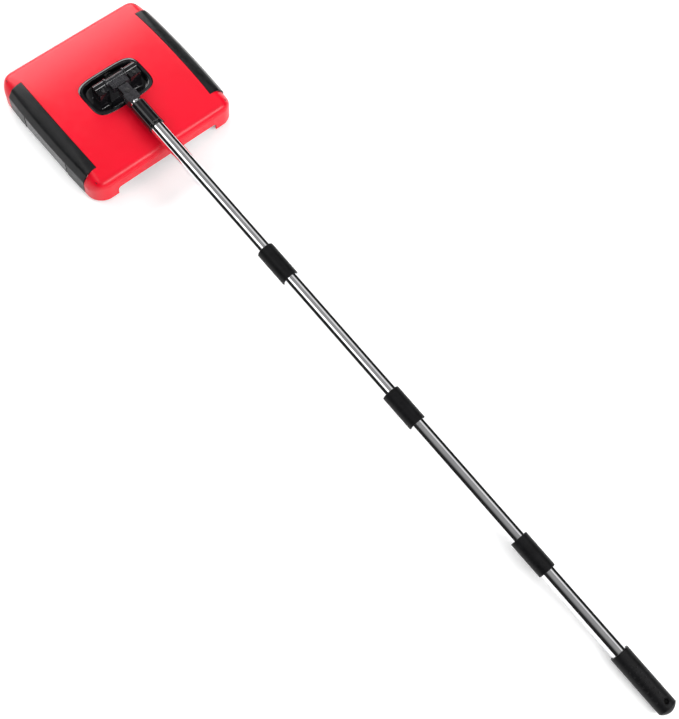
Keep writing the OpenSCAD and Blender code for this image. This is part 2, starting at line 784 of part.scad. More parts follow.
// Handle tubes, couplers and the plugs inside them.
module tube(from, to) {
    difference() {
        bar_s(from, to, tube_r);
        bar_s(from - 1, to + 1, tube_r - tube_wall);
    }
}
module coupler(at) {
    half = coupler_len / 2;
    difference() {
        turned_s() polygon([[0, at - half], [coupler_r - coupler_edge, at - half],
            [coupler_r, at - half + coupler_edge], [coupler_r, at + half - coupler_edge],
            [coupler_r - coupler_edge, at + half], [0, at + half]]);
        bar_s(at - half - 1, at + half + 1, tube_r + fit);
    }
}
module plug(at) {
    bar_s(at - plug_half, at + plug_half, tube_r - tube_wall - fit);
    bar_s(at - coupler_gap + joint_gap, at + coupler_gap - joint_gap, tube_r);
}
module tube_1() { color(steel) at_handle() tube(tube_from, coupler_at_1 - coupler_gap); }
module tube_2() { color(steel) at_handle() tube(coupler_at_1 + coupler_gap, coupler_at_2 - coupler_gap); }
module tube_3() { color(steel) at_handle() tube(coupler_at_2 + coupler_gap, coupler_at_3 - coupler_gap); }
module tube_4() { color(steel) at_handle() tube(coupler_at_3 + coupler_gap, tube_to); }
module coupler_1() { color(black) at_handle() coupler(coupler_at_1); }
module coupler_2() { color(black) at_handle() coupler(coupler_at_2); }
module coupler_3() { color(black) at_handle() coupler(coupler_at_3); }
module joint_plug_1() { color(black) at_handle() plug(coupler_at_1); }
module joint_plug_2() { color(black) at_handle() plug(coupler_at_2); }
module joint_plug_3() { color(black) at_handle() plug(coupler_at_3); }

// Grip: a sleeve with a domed end and a hole to hang it by.
module grip() {
    color(black) at_handle() difference() {
        union() {
            bar_s(handle_len - grip_len, dome_at, grip_r);
            turned_s() intersection() {
                translate([0, dome_at - 1]) square([grip_r, grip_dome + 1]);
                translate([0, handle_len - dome_r]) circle(r = dome_r);
            }
        }
        bar_s(handle_len - grip_len - 1, tube_to + 1, tube_r + fit);
        translate([0, -hang_at, -grip_r - 1]) cylinder(r = hang_r, h = grip_d + 2);
    }
}

top_shell();
end_panel_left();
end_panel_right();
pivot_well();
pivot_caps();
cap_screws();
base_frame();
case_screws();
axle_bushes();
brush_bushes();
lever_rods();
pan_springs();
release_lever_left();
release_lever_right();
front_pan();
front_pan_rod();
rear_pan();
rear_pan_rod();
front_axle();
wheel_hub_front_left();
wheel_hub_front_right();
tyre_front_left();
tyre_front_right();
rear_axle();
wheel_hub_rear_left();
wheel_hub_rear_right();
tyre_rear_left();
tyre_rear_right();
brush_core();
brush_tufts();
brush_axle();
drive_ring_left();
drive_ring_right();
pivot_tee();
swivel_yoke();
swivel_pin();
collar_ring();
ferrule();
tube_1();
tube_2();
tube_3();
tube_4();
coupler_1();
coupler_2();
coupler_3();
joint_plug_1();
joint_plug_2();
joint_plug_3();
grip();
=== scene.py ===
"""Carpet sweeper: the looks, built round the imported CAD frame. Metres, +Z up, head towards +Y."""

import json
import math
import random

import bmesh
import bpy
import numpy as np
from mathutils import Matrix, Vector


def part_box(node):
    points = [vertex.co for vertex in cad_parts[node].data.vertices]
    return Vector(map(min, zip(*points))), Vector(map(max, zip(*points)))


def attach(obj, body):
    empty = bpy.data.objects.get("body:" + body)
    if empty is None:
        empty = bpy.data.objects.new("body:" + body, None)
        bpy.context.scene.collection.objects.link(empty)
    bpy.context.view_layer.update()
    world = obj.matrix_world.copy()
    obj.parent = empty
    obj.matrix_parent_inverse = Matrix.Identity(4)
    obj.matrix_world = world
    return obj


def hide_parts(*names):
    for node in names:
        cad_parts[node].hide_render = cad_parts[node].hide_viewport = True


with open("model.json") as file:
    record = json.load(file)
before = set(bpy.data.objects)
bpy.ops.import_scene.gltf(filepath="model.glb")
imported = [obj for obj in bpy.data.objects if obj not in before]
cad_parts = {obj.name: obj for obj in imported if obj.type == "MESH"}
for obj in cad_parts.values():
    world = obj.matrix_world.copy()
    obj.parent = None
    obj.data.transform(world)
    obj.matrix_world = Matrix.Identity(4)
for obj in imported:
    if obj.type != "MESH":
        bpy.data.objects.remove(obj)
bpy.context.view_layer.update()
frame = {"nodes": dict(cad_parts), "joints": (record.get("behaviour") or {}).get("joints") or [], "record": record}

MM = 0.001
joints = {j["name"]: j for j in frame["joints"]}

# ---------------------------------------------------------------- the frame's own measures

shell_low, shell_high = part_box("top_shell")
HEAD_Y = (shell_low.y + shell_high.y) / 2
HALF_W = shell_high.x
HALF_D = (shell_high.y - shell_low.y) / 2
CROWN_Z = shell_high.z
FOOT_Z = shell_low.z
WALL = 2.2 * MM

PIVOT = Vector(joints["handle_pitch"]["pos_m"])
SWIVEL_AXIS = Vector(joints["handle_swivel"]["axis"]).normalized()


# ---------------------------------------------------------------- node helpers

class Shader:
    """A Principled material and short ways to feed its sockets."""

    def __init__(self, name, colour, roughness, metallic=0.0, **constants):
        self.material = bpy.data.materials.new(name)
        self.material.use_nodes = True
        self.tree = self.material.node_tree
        self.bsdf = self.tree.nodes["Principled BSDF"]
        self.colour, self.roughness = colour, roughness
        self.bsdf.inputs["Base Color"].default_value = (*colour, 1)
        self.bsdf.inputs["Roughness"].default_value = roughness
        self.bsdf.inputs["Metallic"].default_value = metallic
        for socket, value in constants.items():
            self.bsdf.inputs[socket.replace("_", " ")].default_value = value
        self.place = self.node("ShaderNodeTexCoord").outputs["Object"]
        self.normal = None

    def node(self, kind, **settings):
        made = self.tree.nodes.new(kind)
        for key, value in settings.items():
            setattr(made, key, value)
        return made

    def join(self, source, target):
        self.tree.links.new(source, target)

    def stretched(self, scale):
        """The object's coordinates, scaled differently along each axis."""
        mapping = self.node("ShaderNodeMapping")
        mapping.inputs["Scale"].default_value = scale
        self.join(self.place, mapping.inputs["Vector"])
        return mapping.outputs["Vector"]

    def noise(self, size, detail=3.0, stretch=(1, 1, 1)):
        """Noise with lumps about `size` metres across."""
        texture = self.node("ShaderNodeTexNoise")
        texture.inputs["Scale"].default_value = 1 / size
        texture.inputs["Detail"].default_value = detail
        self.join(self.stretched(stretch), texture.inputs["Vector"])
        return texture.outputs["Fac"]

    def cells(self, size):
        """Rounded grains about `size` metres across, as on a spark-eroded mould."""
        texture = self.node("ShaderNodeTexVoronoi", feature="SMOOTH_F1")
        texture.inputs["Scale"].default_value = 1 / size
        self.join(self.place, texture.inputs["Vector"])
        return texture.outputs["Distance"]

    def ramp(self, value, low, high, at=(0.3, 0.7)):
        """A value from 0 to 1 turned into a value from low to high."""
        mapped = self.node("ShaderNodeMapRange")
        mapped.inputs["From Min"].default_value, mapped.inputs["From Max"].default_value = at
        mapped.inputs["To Min"].default_value, mapped.inputs["To Max"].default_value = low, high
        self.join(value, mapped.inputs["Value"])
        return mapped.outputs["Result"]

    def vary_roughness(self, value, spread):
        self.join(self.ramp(value, self.roughness - spread, self.roughness + spread),
                  self.bsdf.inputs["Roughness"])

    def vary_colour(self, value, other, at=(0.35, 0.65)):
        """Colour that drifts between the base colour and another."""
        mix = self.node("ShaderNodeMix", data_type="RGBA")
        mix.inputs["A"].default_value = (*self.colour, 1)
        mix.inputs["B"].default_value = (*other, 1)
        self.join(self.ramp(value, 0.0, 1.0, at), mix.inputs["Factor"])
        self.join(mix.outputs["Result"], self.bsdf.inputs["Base Color"])
        return mix

    def round_edges(self, radius):
        """Softens the look of hard edges, as a mould's radius does."""
        bevel = self.node("ShaderNodeBevel", samples=6)
        bevel.inputs["Radius"].default_value = radius
        self.normal = bevel.outputs["Normal"]
        self.join(self.normal, self.bsdf.inputs["Normal"])

    def bump(self, value, depth, strength=1.0):
        bump = self.node("ShaderNodeBump")
        bump.inputs["Distance"].default_value = depth
        bump.inputs["Strength"].default_value = strength
        self.join(value, bump.inputs["Height"])
        if self.normal is not None:
            self.join(self.normal, bump.inputs["Normal"])
        self.normal = bump.outputs["Normal"]
        self.join(self.normal, self.bsdf.inputs["Normal"])


# ---------------------------------------------------------------- materials, one for each finish

def red_plastic():
    s = Shader("red_plastic", (0.78, 0.0012, 0.020), 0.34, Specular_IOR_Level=0.34)
    s.vary_colour(s.noise(60 * MM, 2), (0.74, 0.0012, 0.017))
    s.vary_roughness(s.noise(9 * MM, 4), 0.035)
    s.bump(s.cells(0.5 * MM), 0.012 * MM)
    return s.material


def black_panel():
    s = Shader("black_panel", (0.0035, 0.0035, 0.0040), 0.36, Specular_IOR_Level=0.26)
    s.vary_colour(s.noise(25 * MM, 4), (0.0075, 0.0075, 0.0085))
    s.vary_roughness(s.noise(6 * MM, 4), 0.05)
    s.round_edges(0.5 * MM)
    s.bump(s.cells(0.7 * MM), 0.035 * MM)
    return s.material


def gloss_black():
    s = Shader("gloss_black", (0.004, 0.004, 0.005), 0.11)
    s.vary_colour(s.noise(12 * MM, 4), (0.008, 0.0075, 0.009))
    s.vary_roughness(s.noise(4 * MM, 5), 0.04)
    s.round_edges(0.5 * MM)
    s.bump(s.noise(3 * MM, 2), 0.01 * MM)
    return s.material


def dark_grey_plastic():
    s = Shader("dark_grey_plastic", (0.010, 0.010, 0.012), 0.27)
    s.vary_colour(s.noise(5 * MM, 4), (0.028, 0.026, 0.031))
    s.vary_roughness(s.noise(3 * MM, 4), 0.06)
    s.round_edges(0.6 * MM)
    s.bump(s.cells(0.5 * MM), 0.02 * MM)
    return s.material


def grip_black():
    s = Shader("grip_black", (0.0028, 0.0028, 0.0032), 0.44, Specular_IOR_Level=0.14)
    s.vary_colour(s.noise(10 * MM, 4), (0.0055, 0.0055, 0.0062))
    s.vary_roughness(s.noise(3 * MM, 4), 0.07)
    s.round_edges(0.5 * MM)
    s.bump(s.cells(0.6 * MM), 0.04 * MM)
    return s.material


def tube_steel():
    s = Shader("tube_steel", (0.84, 0.84, 0.85), 0.08, 1.0)
    s.vary_colour(s.noise(30 * MM, 3), (0.76, 0.76, 0.78))
    s.vary_roughness(s.noise(0.8 * MM, 3, (1, 0.03, 1)), 0.03)
    s.bump(s.noise(0.5 * MM, 2, (1, 0.01, 1)), 0.0015 * MM)
    return s.material


def bright_steel():
    s = Shader("bright_steel", (0.82, 0.82, 0.83), 0.10, 1.0)
    s.vary_roughness(s.noise(2 * MM, 4), 0.05)
    s.round_edges(0.4 * MM)
    return s.material


def blackened_steel():
    s = Shader("blackened_steel", (0.030, 0.030, 0.033), 0.34, 0.6)
    s.vary_colour(s.noise(2 * MM, 4), (0.055, 0.052, 0.052))
    s.vary_roughness(s.noise(0.8 * MM, 4), 0.07)
    s.round_edges(0.3 * MM)
    return s.material


def plain_steel():
    s = Shader("plain_steel", (0.55, 0.55, 0.56), 0.28, 1.0)
    s.vary_colour(s.noise(5 * MM, 4), (0.42, 0.41, 0.40))
    s.vary_roughness(s.noise(1 * MM, 4), 0.08)
    s.round_edges(0.2 * MM)
    s.bump(s.noise(0.4 * MM, 2, (6, 1, 1)), 0.006 * MM)
    return s.material


def tyre_rubber():
    s = Shader("tyre_rubber", (0.020, 0.020, 0.020), 0.72)
    s.vary_colour(s.noise(4 * MM, 5), (0.055, 0.053, 0.050))
    s.vary_roughness(s.noise(2 * MM, 4), 0.08)
    s.round_edges(0.4 * MM)
    s.bump(s.noise(0.5 * MM, 4), 0.05 * MM)
    return s.material


def bristle():
    s = Shader("bristle", (0.014, 0.014, 0.016), 0.42)
    s.vary_colour(s.noise(2 * MM, 3), (0.040, 0.040, 0.044))
    s.vary_roughness(s.noise(1 * MM, 3), 0.08)
    return s.material


def bush_nylon():
    s = Shader("bush_nylon", (0.72, 0.69, 0.60), 0.42, Subsurface_Weight=0.15)
    s.vary_colour(s.noise(3 * MM, 4), (0.62, 0.59, 0.50))
    s.vary_roughness(s.noise(1 * MM, 4), 0.06)
    s.round_edges(0.3 * MM)
    s.bump(s.noise(0.5 * MM, 2), 0.01 * MM)
    return s.material


FINISHES = {make.__name__: make() for make in (
    red_plastic, black_panel, gloss_black, dark_grey_plastic, grip_black, tube_steel,
    bright_steel, blackened_steel, plain_steel, tyre_rubber, bristle, bush_nylon)}

for part in frame["record"]["subparts"]:
    node = frame["nodes"][part["node"]]
    for i in range(len(node.material_slots)):
        node.material_slots[i].material = FINISHES[part["material_slot"]]


# ---------------------------------------------------------------- mesh helpers

def add_mesh(name, points, faces):
    mesh = bpy.data.meshes.new(name)
    mesh.from_pydata([tuple(p) for p in points], [], faces)
    mesh.validate()
    made = bpy.data.objects.new(name, mesh)
    bpy.context.scene.collection.objects.link(made)
    return made


def tidy_normals(obj):
    """All faces outward."""
    work = bmesh.new()
    work.from_mesh(obj.data)
    bmesh.ops.remove_doubles(work, verts=work.verts, dist=0.002 * MM)
    bmesh.ops.recalc_face_normals(work, faces=work.faces)
    work.to_mesh(obj.data)
    work.free()


def smooth_by_angle(obj, degrees=35):
    """Smooth shading, broken at edges sharper than the angle."""
    limit = math.radians(degrees)
    work = bmesh.new()
    work.from_mesh(obj.data)
    for face in work.faces:
        face.smooth = True
    for edge in work.edges:
        edge.smooth = len(edge.link_faces) == 2 and edge.calc_face_angle(0) < limit
    work.to_mesh(obj.data)
    work.free()


def apply_modifiers(obj):
    graph = bpy.context.evaluated_depsgraph_get()
    baked = bpy.data.meshes.new_from_object(obj.evaluated_get(graph))
    old = obj.data
    obj.modifiers.clear()
    obj.data = baked
    baked.name = obj.name
    bpy.data.meshes.remove(old)


def cut(obj, cutter, operation="DIFFERENCE"):
    """A boolean with another object, which is used up."""
    modifier = obj.modifiers.new("cut", "BOOLEAN")
    modifier.operation = operation
    modifier.solver = "EXACT"
    modifier.object = cutter
    apply_modifiers(obj)
    mesh = cutter.data
    bpy.data.objects.remove(cutter)
    bpy.data.meshes.remove(mesh)


def soften(obj, width, segments=3, degrees=35):
    """Rounds an object's edges that are sharper than the angle."""
    modifier = obj.modifiers.new("edges", "BEVEL")
    modifier.width = width
    modifier.segments = segments
    modifier.limit_method = "ANGLE"
    modifier.angle_limit = math.radians(degrees)
    modifier.harden_normals = True
    return modifier


def piece(obj, body, slot, *replaced):
    """Gives a finished mesh its material and its body, and hides the CAD nodes it stands for."""
    obj.data.materials.clear()
    obj.data.materials.append(FINISHES[slot])
    if replaced:
        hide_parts(*replaced)
    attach(obj, body)
    return obj


def rings_to_faces(count, rows, closed_rows=False):
    """Quads between successive closed rings of `count` points."""
    faces = []
    last = rows if closed_rows else rows - 1
    for r in range(last):
        a, b = r * count, ((r + 1) % rows) * count
        for i in range(count):
            j = (i + 1) % count
            faces.append((a + i, a + j, b + j, b + i))
    return faces


def loft(name, rings, cap_start=True, cap_end=True):
    """A closed skin through rings of equal length, capped at its two ends."""
    count = len(rings[0])
    points = [p for ring in rings for p in ring]
    faces = rings_to_faces(count, len(rings))
    if cap_start:
        faces.append(tuple(reversed(range(count))))
    if cap_end:
        start = (len(rings) - 1) * count
        faces.append(tuple(range(start, start + count)))
    made = add_mesh(name, points, faces)
    tidy_normals(made)
    return made


def prism(name, outline, low, high, place=lambda u, v, w: (u, v, w)):
    """An outline in u, v drawn out from w = low to w = high."""
    return loft(name, [[place(u, v, w) for u, v in outline] for w in (low, high)])


def along_x(u, v, w):
    return (w, u, v)


def along_y(u, v, w):
    return (u, w, v)


def arc(centre, radius, start, end, steps):
    """Points on an arc, by angles in degrees."""
    return [(centre[0] + radius * math.cos(math.radians(a)), centre[1] + radius * math.sin(math.radians(a)))
            for a in np.linspace(start, end, steps)]


def rounded_box(half_u, half_v, radius, steps=8, centre=(0, 0)):
    """A rectangle with round corners, counter-clockwise."""
    points = []
    for quarter, (su, sv) in enumerate(((1, 1), (-1, 1), (-1, -1), (1, -1))):
        corner = (centre[0] + su * (half_u - radius), centre[1] + sv * (half_v - radius))
        points += arc(corner, radius, 90 * quarter, 90 * quarter + 90, steps)
    return points


def turned(name, profile, origin, axis, steps=96):
    """A closed section of (distance along the axis, radius) pairs, turned about the axis."""
    axis = Vector(axis).normalized()
    side = axis.orthogonal().normalized()
    other = axis.cross(side)
    rings = []
    for along, radius in profile:
        centre = Vector(origin) + axis * along
        rings.append([centre + (side * math.cos(t) + other * math.sin(t)) * radius
                      for t in (2 * math.pi * i / steps for i in range(steps))])
    points = [p for ring in rings for p in ring]
    made = add_mesh(name, points, rings_to_faces(steps, len(rings), closed_rows=True))
    tidy_normals(made)
    return made


def tube_along(path, radius, sides=10):
    """Rings of a round wire along a path, for use by loft."""
    rings = []
    for i, p in enumerate(path):
        before, after = path[max(i - 1, 0)], path[min(i + 1, len(path) - 1)]
        heading = (Vector(after) - Vector(before)).normalized()
        reference = Vector((1, 0, 0)) if abs(heading.x) < 0.9 else Vector((0, 0, 1))
        side = heading.cross(reference).normalized()
        other = heading.cross(side)
        rings.append([Vector(p) + (side * math.cos(t) + other * math.sin(t)) * radius
                      for t in (2 * math.pi * k / sides for k in range(sides))])
    return rings


def join_pieces(name, parts):
    """Several meshes as one object."""
    target = parts[0]
    work = bmesh.new()
    for part in parts:
        work.from_mesh(part.data)
    work.to_mesh(target.data)
    work.free()
    for part in parts[1:]:
        mesh = part.data
        bpy.data.objects.remove(part)
        bpy.data.meshes.remove(mesh)
    target.name = name
    return target


# ---------------------------------------------------------------- the head's outer form

CROWN_R = 700 * MM          # front-to-rear crown
SHOULDER_R = 60 * MM        # arc that drops the crown towards the ends
SHOULDER_X = HALF_W - 39.9 * MM
SHOULDER_Z = CROWN_Z - 58.3 * MM
SHOULDER_BLEND = 3 * MM
CORNER_R = 21 * MM          # plan radius of the corners
SILL_Z = 30 * MM            # top of the vertical end walls
CHAMFER = Vector((10.6, 6.5)).normalized()
BRIM_R = 9 * MM             # roll from the crown to the walls
SKIN_IN = 18 * MM           # how far inside the walls the surface is drawn from
SKIN_Z = 22 * MM
END_BOW = 4 * MM            # how far the end walls bow outward between the corners


def crown_height(y):
    return CROWN_Z - CROWN_R + math.sqrt(CROWN_R ** 2 - (y - HEAD_Y) ** 2)


def soft_max(a, b, width):
    overlap = np.maximum(width - np.abs(a - b), 0) / width
    return np.maximum(a, b) + overlap ** 2 * width / 4


def rolled_edge(a, b, radius):
    """Where two surfaces meet, an edge rounded to a radius."""
    corner = np.hypot(np.maximum(a + radius, 0), np.maximum(b + radius, 0))
    return np.minimum(np.maximum(a, b), -radius) + corner


def head_distance(p, softness, roll):
    """Roughly how far a point is outside the head, below zero inside."""
    y, z = np.abs(p[..., 1] - HEAD_Y), p[..., 2]
    x = np.abs(p[..., 0]) + END_BOW * (y / HALF_D) ** 2
    crown = np.hypot(y, z - (CROWN_Z - CROWN_R)) - CROWN_R
    round_off = np.hypot(x - SHOULDER_X, z - SHOULDER_Z)
    shoulder = np.where(x > SHOULDER_X, round_off, z - SHOULDER_Z) - SHOULDER_R
    top = soft_max(crown, shoulder, SHOULDER_BLEND)
    qx, qy = x - (HALF_W - CORNER_R), y - (HALF_D - CORNER_R)
    wall = np.hypot(np.maximum(qx, 0), np.maximum(qy, 0)) + np.minimum(np.maximum(qx, qy), 0) - CORNER_R
    chamfer = (x - HALF_W) * CHAMFER.x + (z - SILL_Z) * CHAMFER.y
    return rolled_edge(top, soft_max(wall, chamfer, softness), roll)


def out_to_surface(starts, headings, inset, softness, roll, reach=60 * MM):
    """Points where rays leave the head's form, or the form inset by a wall."""
    near, far = np.zeros(len(starts)), np.full(len(starts), reach)
    for _ in range(36):
        middle = (near + far) / 2
        inside = head_distance(starts + headings * middle[:, None], softness, roll) < -inset
        near, far = np.where(inside, middle, near), np.where(inside, far, middle)
    return starts + headings * near[:, None]


def perimeter(half_x, half_y, radius, step):
    """Evenly spaced points and outward headings round a rounded rectangle."""
    points, headings = [], []
    for quarter, (sx, sy) in enumerate(((1, 1), (-1, 1), (-1, -1), (1, -1))):
        for a in np.linspace(90 * quarter, 90 * quarter + 90, max(3, int(radius * math.pi / 2 / step)) + 1):
            heading = np.array((math.cos(math.radians(a)), math.sin(math.radians(a))))
            points.append(np.array((sx * (half_x - radius), sy * (half_y - radius))) + heading * radius)
            headings.append(heading)
        side = 2 * (half_y - radius) if quarter % 2 else 2 * (half_x - radius)
        count = int(side / step)
        run = np.array(((-1, 0), (0, -1), (1, 0), (0, 1))[quarter], float)
        for i in range(1, count):
            points.append(points[-i] + run * side * i / count)
            headings.append(headings[-i])
    return np.array(points), np.array(headings)


def head_skin(inset, softness, roll, base, step=2.4 * MM):
    """Rings of the head's surface from the middle of the crown out and down to the base."""
    outer, headings = perimeter(HALF_W, HALF_D, CORNER_R, step)
    inner = outer - headings * SKIN_IN
    flat = np.zeros(len(outer))
    rings = []

    def ring(plan, z, heading):
        starts = np.column_stack((plan[:, 0], plan[:, 1] + HEAD_Y, flat + z))
        rings.append(out_to_surface(starts, heading, inset, softness, roll))

    up = np.column_stack((flat, flat, flat + 1))
    out = np.column_stack((headings, flat))
    for share in np.linspace(0.12, 1, 30)[:-1]:
        ring(inner * share, SKIN_Z, up)
    for turn in np.radians(np.linspace(0, 90, 19)):
        ring(inner, SKIN_Z, up * math.cos(turn) + out * math.sin(turn))
    for z in np.linspace(SKIN_Z, base, 8)[1:]:
        ring(inner, z, out)
    return rings


# ---------------------------------------------------------------- cover and end panels

PANEL_X = 92 * MM           # inner edge of a panel at its ends
PANEL_BOW = 1.5 * MM        # how far that edge bows outward in the middle
PANEL_Y = 81.7 * MM
SEAM = 0.35 * MM
SKIRT_HALF = 80 * MM        # the raised edges between the feet
SKIRT_Z = 18 * MM
SKIRT_R = 5 * MM


def panel_outline(gap):
    """Plan of the right-hand panel's space, grown all round by the gap."""
    bow = [(PANEL_X - gap + PANEL_BOW * (1 - (t / PANEL_Y) ** 2), t)
           for t in np.linspace(PANEL_Y + gap, -PANEL_Y - gap, 33)]
    far = 1.2 * HALF_W
    return bow + [(far, -PANEL_Y - gap), (far, PANEL_Y + gap)]


def mirrored(points, side):
    """Plan points for the left (-1) or right (+1) of the head, moved to where the head is."""
    return [(side * x, y + HEAD_Y) for x, y in points]


def well_outline(inset, steps=160, bulge=4.4):
    """The pivot well's plan: a rectangle with softly bulging sides, evenly spaced."""
    low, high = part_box("pivot_well")
    a, b = (high.x - low.x) / 2 - inset, (high.y - low.y) / 2 - inset
    turn = np.linspace(0, 2 * math.pi, 2000, endpoint=False)
    c, s = np.cos(turn), np.sin(turn)
    x, y = a * np.sign(c) * np.abs(c) ** (2 / bulge), b * np.sign(s) * np.abs(s) ** (2 / bulge)
    run = np.concatenate(([0], np.cumsum(np.hypot(np.diff(x), np.diff(y)))))
    even = np.linspace(0, run[-1], steps, endpoint=False)
    return [(px, py + HEAD_Y) for px, py in zip(np.interp(even, run, x), np.interp(even, run, y))]


def make_top_shell():
    softness = 5 * MM
    outer = head_skin(0, softness, BRIM_R, FOOT_Z)
    inner = head_skin(WALL, softness, BRIM_R, FOOT_Z)
    rings = [list(r) for r in outer] + [list(r) for r in reversed(inner)]
    shell = add_mesh("top_shell_moulding", [p for r in rings for p in r],
                     rings_to_faces(len(rings[0]), len(rings), closed_rows=True))
    tidy_normals(shell)
    for side in (-1, 1):
        cut(shell, prism("panel_space", mirrored(panel_outline(SEAM), side), 0, 2 * CROWN_Z))
    arch = rounded_box(SKIRT_HALF, SKIRT_Z, SKIRT_R)
    cut(shell, prism("raised_edges", arch, HEAD_Y - 1.2 * HALF_D, HEAD_Y + 1.2 * HALF_D, along_y))
    cut(shell, prism("well_hole", well_outline(1.5 * MM), SKIN_Z, 2 * CROWN_Z))
    smooth_by_angle(shell)
    piece(shell, "head", "red_plastic", "top_shell")


def make_end_panel(name, side):
    """Lofted from front to rear: chamfered black cover with a slot for the lever."""
    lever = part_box("release_lever_right")[1]
    half = PANEL_Y
    edge = 0.6 * MM
    stations = [-half, -half + 0.1 * MM, -half + 0.3 * MM, -half + edge]
    stations += list(np.linspace(-half + 2.4 * MM, half - 2.4 * MM, 66))
    stations += [-t for t in reversed(stations[:4])]
    drops = {0: edge, 1: 0.25 * MM, 2: 0.07 * MM}

    def section(t, drop):
        """Outer face from the inner edge over the shoulder and down, then back up inside."""
        start = PANEL_X + PANEL_BOW * (1 - (t / PANEL_Y) ** 2)
        rows = []
        for inset, flip in ((drop, 1), (WALL, -1)):
            tops = [start, start + 0.1 * MM, start + 0.3 * MM, start + edge]
            tops += list(np.linspace(start + 2 * MM, HALF_W - SKIN_IN + 6 * MM, 8))
            starts = [(x, SKIN_Z - 2 * MM) for x in tops]
            headings = [(0, 1)] * len(tops)
            fan = (HALF_W - SKIN_IN + 6 * MM, SKIN_Z - 2 * MM)
            for a in np.radians(np.linspace(3, 88, 44)):
                starts.append(fan)
                headings.append((math.sin(a), math.cos(a)))
            for z in np.linspace(SKIN_Z - 3 * MM, FOOT_Z, 7):
                starts.append((fan[0], z))
                headings.append((1, 0))
            starts, headings = np.array(starts), np.array(headings)
            p = np.column_stack((starts[:, 0], np.full(len(starts), HEAD_Y + t), starts[:, 1]))
            h = np.column_stack((headings[:, 0], np.zeros(len(starts)), headings[:, 1]))
            row = out_to_surface(p, h, inset, 0.8 * MM, 0.8 * MM)
            if flip == 1:
                row[0, 2] -= edge
                row[1, 2] -= 0.25 * MM
                row[2, 2] -= 0.07 * MM
            rows.append(row[::flip])
        return np.concatenate(rows)

    count = len(stations)
    rings = [section(t, drops.get(min(i, count - 1 - i), 0)) for i, t in enumerate(stations)]
    for ring in rings:
        ring[:, 0] *= side
    panel = loft(name, rings)
    slot_in, slot_out, slot_top = lever.x - 4 * MM, lever.x + 6 * MM, lever.z + 1 * MM
    slot = [(slot_in, 0), (slot_out, 0), (slot_out, slot_top), (slot_in, slot_top)]
    slot_half = 46 * MM
    outline = [(side * x, z) for x, z in slot]
    cut(panel, prism("lever_slot", outline, HEAD_Y - slot_half, HEAD_Y + slot_half, along_y))
    smooth_by_angle(panel, 25)
    piece(panel, "head", "black_panel", name.replace("_moulding", ""))


# ---------------------------------------------------------------- pivot well

def make_pivot_well():
    caps_low, caps_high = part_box("pivot_caps")
    thick, floor_in = 1.6 * MM, 9 * MM
    floor_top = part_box("pivot_well")[0].z + thick

    def ring(inset, height, sunk, share=1.0):
        """A ring at a height over the crown (sunk = 0), over the floor (sunk = 1), or between."""
        points = []
        for x, y in well_outline(inset):
            x, y = x * share, (y - HEAD_Y) * share + HEAD_Y
            points.append(Vector((x, y, (1 - sunk) * crown_height(y) + sunk * floor_top + height)))
        return points

    lip = [(0, 0.05), (0.1, 0.2), (0.4, 0.42), (0.9, 0.66), (1.7, 0.93), (2.6, 1.12),
           (3.4, 1.2), (4.1, 1.12), (4.8, 0.82), (5.4, 0.3), (5.9, -0.4), (6.2, -1.2)]
    wall = [(6.35, -2.4, 0), (6.5, 0, 0.45), (6.7, 0, 0.72), (7.0, 0, 0.86), (7.5, 0, 0.94),
            (8.2, 0, 0.985), (9.0, 0, 1)]
    rings = [ring(i * MM, h * MM, 0) for i, h in lip] + [ring(i * MM, h * MM, s) for i, h, s in wall]
    rings += [ring(floor_in, 0, 1, share) for share in (0.85, 0.6, 0.3, 0.08)]
    under = [ring(floor_in, -thick, 1, share) for share in (0.08, 0.6)]
    under += [ring(4 * MM, -thick, 1), ring(2 * MM, -1.2 * MM, 1), ring(1.7 * MM, -1 * MM, 0),
              ring(1.6 * MM, 0.05 * MM, 0)]
    points = [p for r in rings + under for p in r]
    dish = add_mesh("dish", points, rings_to_faces(len(rings[0]), len(rings + under), closed_rows=True))
    tidy_normals(dish)
    parts = [dish]
    bore, end_wall = 3.55 * MM, 1 * MM
    back, front = caps_low.y - HEAD_Y, caps_high.y - HEAD_Y
    width = 15.8 * MM
    root = [(-3.5, -0.4), (-1.6, 0.5), (-0.5, 2), (0, 4.5)]
    flared_back = [(back + u * MM, floor_top + v * MM) for u, v in root] + [(back, PIVOT.z)]
    flared_front = [(front, PIVOT.z)] + [(front - u * MM, floor_top + v * MM) for u, v in reversed(root)]
    cradle = [(u, v + PIVOT.z) for u, v in arc((0, 0), bore, 180, 360, 25)]
    for side in (-1, 1):
        for middle, inner, outer in ((cradle, caps_high.x - width, caps_high.x - end_wall),
                                     ([], caps_high.x - end_wall, caps_high.x)):
            outline = [(u + HEAD_Y, v) for u, v in flared_back + middle + flared_front]
            ends = sorted((side * inner, side * outer))
            saddle = prism("saddle", outline, *ends, along_x)
            if middle:
                soften(saddle, 0.5 * MM)
                apply_modifiers(saddle)
            parts.append(saddle)
    well = join_pieces("pivot_well_dish", parts)
    smooth_by_angle(well, 40)
    piece(well, "head", "gloss_black", "pivot_well")


# ---------------------------------------------------------------- underside pieces

